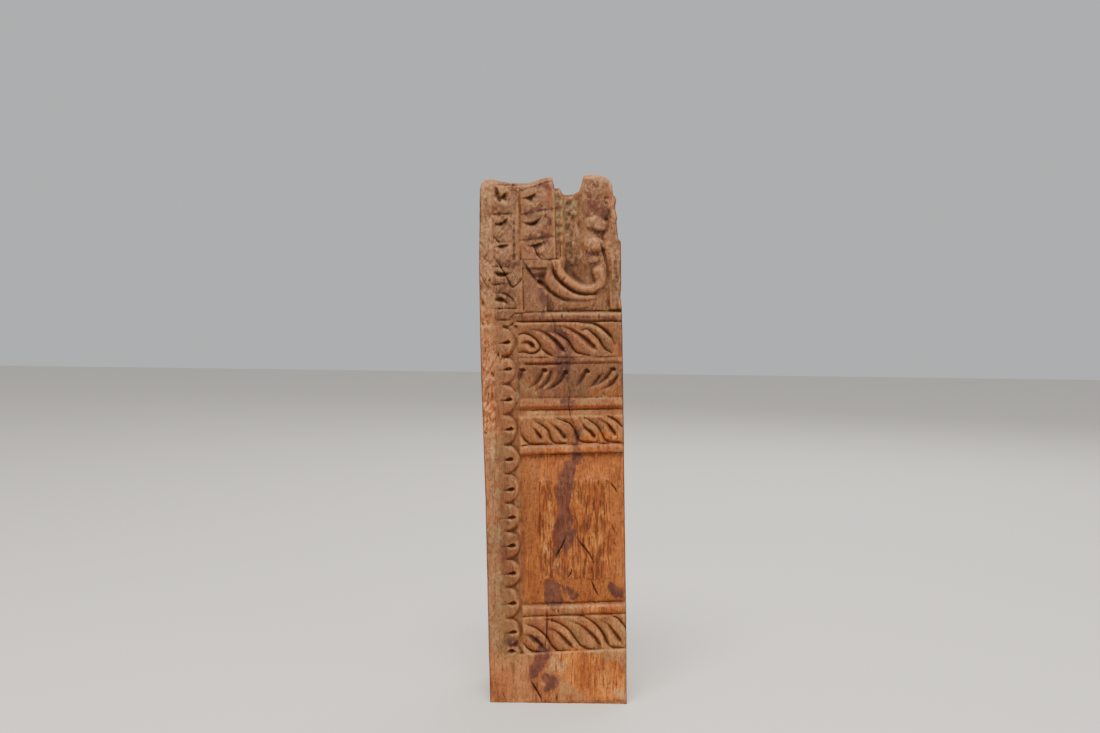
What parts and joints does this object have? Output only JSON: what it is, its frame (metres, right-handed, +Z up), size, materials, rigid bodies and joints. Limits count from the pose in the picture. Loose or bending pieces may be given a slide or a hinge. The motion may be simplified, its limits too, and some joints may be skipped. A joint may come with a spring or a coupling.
{
  "type": "carved wooden corbel",
  "caption": "Upright carved hardwood corbel: scalloped left border beside leaf bands, beads, a hipped panel, a volute and a broken, worn crown with a deep groove.",
  "frame": {"origin": "centre of the level sawn foot, on the surface that the corbel stands on", "axes": "+Z up, +X to the viewer's right across the carved front, +Y in from the carved front to the plain back"},
  "size_m": [0.1325, 0.09, 0.4565],
  "materials": {
    "wood": "old hardwood, carved, weathered grey-brown above and worn to clean orange-brown below"
  },
  "bodies": {
    "root": {"corbel": "wood"}
  },
  "joints": []
}
